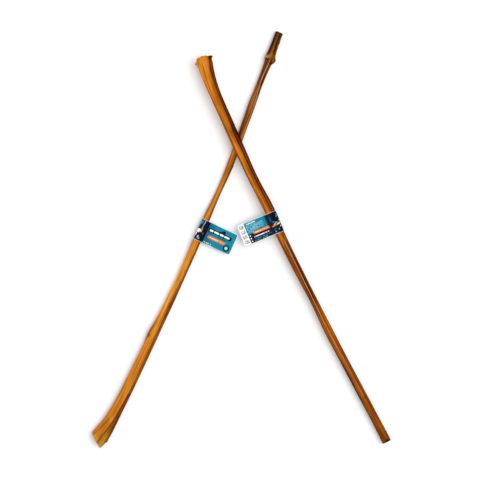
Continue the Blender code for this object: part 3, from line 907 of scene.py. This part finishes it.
def make_strip(label, outward_sign, middle, curl, seed):
    """One label as a sheet, with its place on the unfolded strip as an attribute."""
    place = fold_frame(label, outward_sign)
    crease, out, along, up = place
    across = np.linspace(-LEAF_WIDTH / 2, LEAF_WIDTH / 2, 31)
    wrap = feel_wrap(label, place, np.clip(across, -21.8, 21.8), middle)
    outwards = np.concatenate([LEAF_LENGTH - np.arange(0, 12) ** 1.5 * 0.12, np.linspace(55.4, 0.9, 40)])
    rng = np.random.default_rng(seed)
    waves = rng.uniform(-1.0, 1.0, 4)
    rows, places = [], []
    for v, outline in zip(across, wrap):
        share = v / (LEAF_WIDTH / 2)
        into_corner = max(abs(v) - (LEAF_WIDTH / 2 - LEAF_CORNER), 0.0)
        trim = LEAF_CORNER - math.sqrt(max(LEAF_CORNER**2 - into_corner**2, 0.0))
        reach = np.minimum(outwards, LEAF_LENGTH) / LEAF_LENGTH * (LEAF_LENGTH - trim)
        bend = curl * (reach / LEAF_LENGTH) ** 2 * (1.0 + 0.5 * waves[0] * share)
        ripple = 0.10 * waves[1] * np.sin(reach * 0.11 + 2.0 * share + 6.0 * waves[2])
        ripple = ripple + 0.06 * np.sin(reach * 0.23 - 3.0 * share + 5.0 * waves[3])
        spread = 0.34 - 0.10 * (reach / LEAF_LENGTH) ** 4
        top = np.stack([reach, bend + ripple + spread], axis=1)
        bottom = np.stack([reach, bend + ripple - spread], axis=1)[::-1]
        path = np.concatenate([top, outline, bottom])
        softened = smoothed(path, 1)
        near = slice(len(top) - 3, len(top) + 4)
        path[near] = softened[near]
        near = slice(len(top) + len(outline) - 4, len(top) + len(outline) + 3)
        path[near] = softened[near]
        steps = np.linalg.norm(np.diff(path, axis=0), axis=1)
        run = np.concatenate([[0.0], np.cumsum(steps)])
        fold = len(top) - 1
        run = run - run[fold] - reach[-1]
        rows.append(path)
        places.append(run)
    rows, places = np.array(rows), np.array(places)
    under_fold = places[:, -len(outwards)].mean() + 0.9
    piece, row, column = flat_sheet(*rows.shape[:2])
    spot = rows[row, column] * MM
    world = np.array(crease) + spot[:, :1] * np.array(out) + spot[:, 1:] * np.array(up)
    place_points(piece, world + (across[row] * MM)[:, None] * np.array(along))
    note(piece, "strip", np.stack([places[row, column], across[row], 0.0 * across[row]], axis=1))
    middle_point = crease + out * middle * MM
    wrap_faces = [face for face in piece.data.polygons if (face.center - crease).dot(out) < -0.004]
    outward = sum((face.center - middle_point).dot(face.normal) for face in wrap_faces)
    if outward < 0:
        select_only(piece)
        bpy.ops.object.mode_set(mode="EDIT")
        bpy.ops.mesh.select_all(action="SELECT")
        bpy.ops.mesh.flip_normals()
        bpy.ops.object.mode_set(mode="OBJECT")
    unfolded = piece.data.attributes["strip"].data
    for face in piece.data.polygons:
        lengths = [unfolded[corner].vector[0] for corner in face.vertices]
        spot = sum(lengths) / len(lengths)
        face.material_index = 0 if spot < -0.4 else 2 if spot > under_fold - 0.4 else 1
    print(f"{label} strip: {under_fold:.1f} mm round the stick")
    return piece, under_fold, place


def thicken(piece):
    """Give the sheet its paper thickness inwards; the inside takes the last finish."""
    for _ in range(4):
        piece.data.materials.append(None)
    solid = piece.modifiers.new("paper", "SOLIDIFY")
    solid.thickness = PAPER * MM
    solid.offset = -1.0
    solid.material_offset = 3
    solid.material_offset_rim = 3
    select_only(piece)
    bpy.ops.object.modifier_apply(modifier="paper")


lower_strip, lower_round, lower_place = make_strip("lower", 1, -9.0, 0.5, 3)
thicken(lower_strip)
finish_piece(lower_strip, "lower_paper_strip", 50.0)
upper_strip, upper_round, upper_place = make_strip("upper", -1, -10.5, 0.7, 8)
thicken(upper_strip)
finish_piece(upper_strip, "upper_paper_strip", 50.0)

# %% [markdown]
# Each strip's placing is baked into its points, and the plain solids of its label are hidden.
# The strip stands for three plain solids at once.

# %% Settling the strips
for label, strip, (crease, out, _, _) in (
    ("lower", lower_strip, lower_place),
    ("upper", upper_strip, upper_place),
):
    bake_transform(strip)
    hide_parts(f"{label}_label_wrap", f"{label}_label_front_leaf", f"{label}_label_back_leaf")

# %% [markdown]
# ## The film of glue
#
# Between the two leaves there's a film of clear glue. It shows only at the flag's edges, but it's
# a separate thing with its own finish. It's a thin box that follows the same gentle curl.


# %% Spreading the glue
FILM_START = 3.2  # millimetres from the crease to the film
FILM_LENGTH = 55.6
FILM_WIDTH = 40.4
FILM_THICKNESS = 0.06


def spread_glue(label, place, curl, name):
    """A thin film between a flag's leaves."""
    crease, out, along, up = place
    bpy.ops.object.select_all(action="DESELECT")
    bpy.ops.mesh.primitive_cube_add(size=1.0)
    film = bpy.context.object
    select_only(film)
    bpy.ops.object.mode_set(mode="EDIT")
    bpy.ops.mesh.select_all(action="SELECT")
    bpy.ops.mesh.subdivide(number_cuts=12)
    bpy.ops.object.mode_set(mode="OBJECT")
    for vertex in film.data.vertices:
        reach = FILM_START + (vertex.co.x + 0.5) * FILM_LENGTH
        level = curl * (reach / LEAF_LENGTH) ** 2 + vertex.co.z * FILM_THICKNESS
        spot = crease + out * reach * MM + along * vertex.co.y * FILM_WIDTH * MM + up * level * MM
        vertex.co = spot
    close_and_turn_out(film, 0.000001)
    finish_piece(film, name, 40.0)
    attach(film, f"{label}_flag")
    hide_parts(f"{label}_label_adhesive")
    return film


lower_glue = spread_glue("lower", lower_place, 0.5, "lower_glue_film")
upper_glue = spread_glue("upper", upper_place, 0.7, "upper_glue_film")

# %% [markdown]
# ## Printing the labels
#
# The print is made of plain marks: boxes with round corners, dots and broken lines, each a mask
# over the unfolded strip. There's no lettering and no picture. A row of plain bars stands in for
# the large mark, fine broken lines for the small print, and soft patches for the picture on the
# wrap. Every mark is given in millimetres from the fold, so the print keeps its size.


# %% The printer's pen
def ink(red, green, blue):
    """A printed colour from its display values, 0 to 255."""
    shares = [value / 255.0 for value in (red, green, blue)]
    return tuple(((s + 0.055) / 1.055) ** 2.4 for s in shares) + (1.0,)


WHITE = ink(246, 247, 247)
NAVY = ink(14, 28, 50)
BLACK = ink(8, 10, 16)
TEAL = ink(0, 132, 158)
ORANGE = ink(242, 118, 10)
CREAM = ink(250, 224, 180)
SKY = ink(92, 190, 214)


class Print(Nodes):
    """A printed finish; marks go on in order, each over the ones before."""

    def __init__(self, name, start, flip=1.0):
        super().__init__(name, IOR=1.5, Specular_IOR_Level=0.12)
        strip = self.attribute("strip", "Vector")
        self.place = self.vector("MULTIPLY", self.vector("SUBTRACT", strip, (start, 0, 0)), (flip, 1, 1))
        self.colour = WHITE

    def box(self, u, v, width, height, corner=0.3, turn=0.0, soft=0.15, wobble=0.0):
        """A mask for a box with round corners, its middle at (u, v), sizes in mm."""
        place = self.place
        if wobble:
            swirl = self.add("ShaderNodeTexNoise", (("Vector", place), ("Scale", 0.35)), "Color")
            swirl = self.vector("SUBTRACT", swirl, (0.5, 0.5, 0.5))
            place = self.vector("ADD", place, self.vector("MULTIPLY", swirl, (wobble, wobble, 0.0)))
        place = self.vector("SUBTRACT", place, (u, v, 0.0))
        if turn:
            inputs = (("Vector", place), ("Angle", math.radians(-turn)))
            place = self.add("ShaderNodeVectorRotate", inputs, rotation_type="Z_AXIS")
        place = self.vector("MULTIPLY", place, (1.0, 1.0, 0.0))
        place = self.vector("ABSOLUTE", place)
        half = (max(width / 2 - corner, 0.0), max(height / 2 - corner, 0.0), 0.0)
        place = self.vector("MAXIMUM", self.vector("SUBTRACT", place, half), (0.0, 0.0, 0.0))
        reach = self.vector("LENGTH", place, output="Value")
        return self.spread(reach, corner - soft / 2, corner + soft / 2, 1.0, 0.0)

    def dot(self, u, v, radius, **more):
        return self.box(u, v, 0.0, 0.0, corner=radius, **more)

    def broken(self, mask, step, keep, seed=0.0):
        """Break a mask into uneven dashes along the strip."""
        parts = self.vector("MULTIPLY", self.place, (1.0 / step, 0.4, 0.0))
        parts = self.vector("FLOOR", self.vector("ADD", parts, (seed, 0.0, 0.0)))
        chance = self.add("ShaderNodeTexWhiteNoise", (("Vector", parts),), "Value", noise_dimensions="3D")
        return self.math("MULTIPLY", mask, self.math("LESS_THAN", chance, keep))

    def stamp(self, mask, colour):
        self.colour = self.mix(mask, self.colour, colour)

    def dry(self):
        """Join the ink to the shader, with the paper's grain under it."""
        grain = self.noise(self.place, 3.0, 3.0)
        soft = self.spread(self.noise(self.place, 0.12, 2.0), 0.3, 0.7, 0.90, 1.0)
        shade = self.add("ShaderNodeCombineColor", ((0, soft), (1, soft), (2, soft)))
        self.into("Base Color", self.mix(1.0, self.colour, shade, "MULTIPLY"))
        self.into("Roughness", self.spread(grain, 0.3, 0.7, 0.34, 0.46))
        self.into("Normal", self.bump(grain, 0.08, 0.0002))
        print(f"{self.material.name}: {len(self.tree.nodes)} nodes")
        return self.material


# %% The front of the flag
def front_print(name, start, flip):
    """Teal ground, a navy band with white bars, an orange bar, and a ring, with painted shade near the
    fold.
    """
    p = Print(name, start, flip)
    p.stamp(p.box(29.5, 0.0, 61.6, 43.0, 3.0), TEAL)
    # A darker teal band across the leaf near the fold is painted shade where the leaf bends down from the
    # stick.
    p.stamp(p.box(3.0, 0.0, 14.0, 43.0, 2.0, soft=12.0), ink(0, 96, 118))
    p.stamp(p.box(40.0, -8.0, 30.0, 26.0, 8.0, soft=14.0), ink(0, 130, 150))
    p.stamp(p.box(33.0, 14.0, 8.0, 6.0, 1.5, 20.0, wobble=3.0), NAVY)
    p.stamp(p.box(30.0, 12.0, 13.0, 3.0, 1.2, wobble=2.0), NAVY)
    p.stamp(p.box(27.0, 7.6, 51.0, 8.2, 2.2, wobble=2.2), NAVY)
    for u, width in ((8.6, 8.0), (19.6, 11.0), (31.0, 8.6), (42.4, 11.4)):
        p.stamp(p.box(u, 7.6, width, 3.8, 1.7), WHITE)
    p.stamp(p.broken(p.box(35.5, 0.6, 21.0, 1.5, 0.2), 0.9, 0.6), NAVY)
    p.stamp(p.box(25.0, -5.9, 38.0, 5.8, 1.9), ORANGE)
    p.stamp(p.broken(p.box(25.0, -5.9, 31.0, 2.0, 0.2), 1.0, 0.68, 3.0), CREAM)
    p.stamp(p.dot(44.4, -2.7, 0.9), SKY)
    p.stamp(p.dot(49.6, -12.4, 6.8), NAVY)
    p.stamp(p.dot(49.6, -12.4, 4.2), TEAL)
    p.stamp(p.dot(49.6, -12.4, 3.0), ink(150, 215, 228))
    p.stamp(p.box(49.9, -12.2, 1.7, 3.2, 0.5, 25.0), WHITE)
    p.stamp(p.broken(p.box(9.8, -18.9, 17.0, 1.5, 0.2), 1.0, 0.7, 7.0), WHITE)
    return p.dry()


# %% The back of the flag
def back_print(name, start, flip):
    """A white end with grey blocks, a teal panel of small print, and a navy panel."""
    p = Print(name, start, flip)
    p.stamp(p.box(22.5, 0.0, 50.0, 43.0, 0.4), NAVY)
    p.stamp(p.box(24.5, 9.3, 46.0, 24.6, 0.4), TEAL)
    p.stamp(p.box(0.5, 0.0, 6.0, 43.0, 1.0, soft=3.0), NAVY)
    p.stamp(p.broken(p.box(33.5, 18.0, 19.0, 2.0, 0.2), 1.2, 0.75), WHITE)
    for line in range(8):
        v, width = 14.2 - 1.95 * line, (34.0, 36.0, 33.0, 36.0, 35.0, 34.0, 22.0, 12.0)[line]
        mask = p.broken(p.box(45.0 - width / 2, v, width, 0.95, 0.1), 0.8, 0.66, line * 5.0)
        p.stamp(mask, ink(158, 216, 226))
    p.stamp(p.box(18.6, -3.2, 35.0, 5.4, 1.8), ORANGE)
    p.stamp(p.broken(p.box(18.6, -3.2, 28.0, 1.7, 0.2), 1.0, 0.7, 2.0), CREAM)
    for v in (-6.3, -12.0, -17.8):
        p.stamp(p.dot(44.0, v, 1.35), WHITE)
    p.stamp(p.broken(p.box(21.0, -11.0, 33.0, 1.9, 0.5, wobble=1.4), 1.5, 0.8, 4.0), WHITE)
    p.stamp(p.broken(p.box(20.0, -15.6, 36.0, 1.1, 0.2), 1.0, 0.62, 9.0), ink(90, 160, 205))
    p.stamp(p.broken(p.box(24.0, -18.9, 30.0, 1.1, 0.2), 1.0, 0.62, 13.0), ink(120, 180, 215))
    for index, v in enumerate((16.2, 5.8, -4.0, -14.6)):
        for row, height in ((2.6, 0.8), (1.0, 1.5), (-1.0, 1.3), (-3.0, 1.6)):
            mask = p.broken(p.box(54.4, v + row, 9.5, height, 0.1), 0.8, 0.7, index * 3.0 + row)
            p.stamp(mask, ink(58, 60, 64))
    return p.dry()


# %% The wraps
def lower_wrap_print(name):
    """Soft patches on navy, where the lower label goes round its stick."""
    p = Print(name, 0.0)
    p.stamp(p.box(40.0, 0.0, 200.0, 43.4, 0.3), NAVY)
    p.stamp(p.box(19.5, 15.0, 5.0, 9.0, 1.5, 25.0, 0.8, 6.0), TEAL)
    p.stamp(p.box(22.5, 10.0, 4.0, 6.0, 1.5, 0.0, 0.8, 6.0), ink(70, 120, 150))
    p.stamp(p.box(16.5, 8.0, 3.0, 9.0, 1.2, 20.0, 0.8, 5.0), BLACK)
    p.stamp(p.box(12.6, 12.0, 1.2, 17.0, 0.5, 8.0, 0.4, 2.5), ink(176, 186, 196))
    p.stamp(p.box(17.0, -1.5, 10.0, 5.5, 1.4, 18.0, 0.8, 9.0), CREAM)
    p.stamp(p.box(20.5, -3.5, 7.0, 5.5, 1.4, -20.0, 0.8, 8.0), ink(252, 240, 218))
    p.stamp(p.box(12.6, 1.0, 2.2, 7.0, 0.9, 10.0, 0.8, 4.0), ink(196, 146, 96))
    p.stamp(p.box(14.0, -7.5, 6.0, 4.0, 1.4, 25.0, 0.8, 7.0), BLACK)
    p.stamp(p.box(19.0, -13.0, 4.5, 7.0, 1.4, 15.0, 0.8, 7.0), BLACK)
    p.stamp(p.box(22.5, -10.5, 3.5, 5.0, 1.0, 0.0, 0.8, 5.0), WHITE)
    p.stamp(p.box(15.2, -14.0, 2.4, 5.0, 0.8, 12.0, 0.6, 4.0), ink(226, 214, 196))
    p.stamp(p.box(12.0, -17.5, 2.6, 4.0, 1.0, 10.0, 0.5, 3.5), SKY)
    p.stamp(p.box(7.5, -5.0, 2.4, 3.5, 0.8, 0.0, 0.6, 3.0), ink(170, 84, 30))
    return p.dry()


def upper_wrap_print(name):
    """Soft patches on navy, where the upper label goes round its stick."""
    p = Print(name, 0.0)
    p.stamp(p.box(40.0, 0.0, 200.0, 43.4, 0.3), NAVY)
    p.stamp(p.box(15.0, 8.0, 9.0, 26.0, 2.0, 0.0, 2.0, 8.0), BLACK)
    p.stamp(p.box(8.0, 9.5, 1.8, 8.0, 0.8, -15.0, 0.8, 3.5), TEAL)
    p.stamp(p.box(11.0, 3.0, 2.0, 5.0, 0.8, 20.0, 0.8, 3.5), ink(24, 74, 96))
    p.stamp(p.box(24.0, 13.5, 3.2, 9.0, 1.2, -28.0, 0.8, 5.0), TEAL)
    p.stamp(p.box(25.2, 12.5, 1.4, 6.0, 0.6, -28.0, 0.6, 4.0), SKY)
    p.stamp(p.box(17.0, 1.0, 11.0, 1.6, 0.7, -16.0, 0.5, 5.0), ink(60, 140, 165))
    p.stamp(p.box(15.5, -1.8, 8.0, 1.4, 0.6, 24.0, 0.5, 4.0), ink(214, 224, 226))
    p.stamp(p.box(15.0, -5.0, 20.0, 2.3, 0.9, 4.0, 0.6, 3.0), ORANGE)
    p.stamp(p.box(23.5, -3.8, 9.0, 2.8, 1.2, 10.0, 0.6, 5.0), CREAM)
    p.stamp(p.box(27.5, 1.5, 2.6, 5.0, 1.0, 0.0, 0.6, 4.0), CREAM)
    p.stamp(p.box(10.5, -14.0, 4.5, 7.0, 1.4, 20.0, 0.8, 6.0), ink(16, 66, 92))
    p.stamp(p.dot(10.5, -17.5, 1.3, wobble=3.0, soft=0.6), SKY)
    p.stamp(p.dot(19.0, -14.5, 1.5, wobble=3.0, soft=0.6), SKY)
    p.stamp(p.box(23.5, -13.0, 5.0, 4.5, 1.2, 0.0, 0.8, 6.0), BLACK)
    p.stamp(p.box(25.5, -10.0, 4.0, 2.4, 1.0, 0.0, 0.8, 5.0), CREAM)
    return p.dry()


# %% Paper and glue
def bare_paper():
    """Uncoated white paper for the inside and the cut edges."""
    n = Nodes("bare_paper", IOR=1.5, Specular_IOR_Level=0.25)
    place = n.add("ShaderNodeTexCoord", output="Object")
    fibres = n.noise(place, 1800.0, 4.0)
    n.into("Base Color", n.ramp(fibres, ((0.3, (0.78, 0.77, 0.74)), (0.7, (0.90, 0.89, 0.87)))))
    n.into("Roughness", n.spread(fibres, 0.3, 0.7, 0.78, 0.9))
    n.into("Normal", n.bump(fibres, 0.2, 0.0002))
    return n.material


def clear_glue():
    """A faintly yellow, glossy film."""
    n = Nodes("clear_glue", IOR=1.48, Specular_IOR_Level=0.5)
    place = n.add("ShaderNodeTexCoord", output="Object")
    streaks = n.noise(place, 240.0, 2.0)
    n.into("Base Color", n.ramp(streaks, ((0.3, (0.72, 0.68, 0.56)), (0.7, (0.82, 0.79, 0.70)))))
    n.into("Roughness", n.spread(streaks, 0.3, 0.7, 0.18, 0.32))
    return n.material


paper, glue = bare_paper(), clear_glue()
paint(
    lower_strip,
    front_print("lower_front_print", 0.0, -1.0),
    lower_wrap_print("lower_wrap_print"),
    back_print("lower_back_print", lower_round, 1.0),
    paper,
)
paint(
    upper_strip,
    back_print("upper_back_print", 0.0, -1.0),
    upper_wrap_print("upper_wrap_print"),
    front_print("upper_front_print", upper_round, 1.0),
    paper,
)
paint(lower_glue, glue)
paint(upper_glue, glue)

# %% [markdown]
# ## Floor, light and camera
#
# The sticks lie on a plain white table, seen from straight above. A long lens from far away keeps
# the view almost flat. One soft light from the upper left gives the rounded shading, and a second
# one from the right throws the pale shadow that lies along every left edge. The lower stick is
# close to the table, so a third, flatter light gives it a shadow as wide as the upper one's. Each
# light is linked to what it lights, as flags do on a stand. An even white world fills in.

# %% The white table
TABLE_SIZE = 60.0
TABLE_DROP = 0.0002  # metres below the sticks, so that no two faces share a plane


def table_finish():
    """Plain matt white, very faintly mottled."""
    n = Nodes("white_table", Specular_IOR_Level=0.0)
    place = n.add("ShaderNodeTexCoord", output="Object")
    mottle = n.noise(place, 40.0, 2.0)
    n.into("Base Color", n.ramp(mottle, ((0.3, (0.74, 0.74, 0.74)), (0.7, (0.76, 0.76, 0.76)))))
    n.into("Roughness", n.spread(mottle, 0.3, 0.7, 0.88, 0.95))
    return n.material


bpy.ops.object.select_all(action="DESELECT")
bpy.ops.mesh.primitive_plane_add(size=TABLE_SIZE, location=(0.0, 0.0, -TABLE_DROP))
table = bpy.context.object
table.name = "white_table"
table.visible_glossy = False
paint(table, table_finish())

# %% Light
WORLD_STRENGTH = 0.74

scene = bpy.context.scene
scene.view_settings.view_transform = "Standard"
world = bpy.data.worlds.new("even_white")
world.use_nodes = True
world.node_tree.nodes["Background"].inputs[0].default_value = (1.0, 1.0, 1.0, 1.0)
world.node_tree.nodes["Background"].inputs[1].default_value = WORLD_STRENGTH
scene.world = world
world.cycles_visibility.glossy = False


def soft_light(name, direction, strength, width, only, shadow_of=()):
    """A wide, distant light, linked to what it lights and to what may block it."""
    light = bpy.data.lights.new(name, "SUN")
    light.energy = strength
    light.angle = math.radians(width)
    lamp = bpy.data.objects.new(name, light)
    scene.collection.objects.link(lamp)
    lamp.rotation_euler = Vector(direction).to_track_quat("Z", "Y").to_euler()
    lit = bpy.data.collections.new(name)
    for piece in only:
        lit.objects.link(piece)
    lamp.light_linking.receiver_collection = lit
    if shadow_of:
        blockers = bpy.data.collections.new(name + "_blockers")
        for piece in shadow_of:
            blockers.objects.link(piece)
        lamp.light_linking.blocker_collection = blockers
    return lamp


pieces = [lower_stick, upper_stick, lower_strand, upper_strand]
pieces += [lower_strip, upper_strip, lower_glue, upper_glue]
soft_light("left_key", (-0.75, 0.25, 0.75), 2.1, 100.0, pieces)
soft_light("right_shadow", (0.45, 0.05, 0.88), 2.0, 60.0, [table])
soft_light("low_shadow", (0.75, 0.08, 0.66), 1.0, 60.0, [table], [lower_stick, lower_strand])

# %% Camera
LENS = 120.0  # millimetres
SENSOR = 36.0
CAMERA_SPOT = (-0.0021, -0.0021, 3.241)

camera = bpy.data.objects.new("camera", bpy.data.cameras.new("camera"))
scene.collection.objects.link(camera)
camera.data.lens = LENS
camera.data.sensor_width = SENSOR
camera.location = CAMERA_SPOT
scene.camera = camera
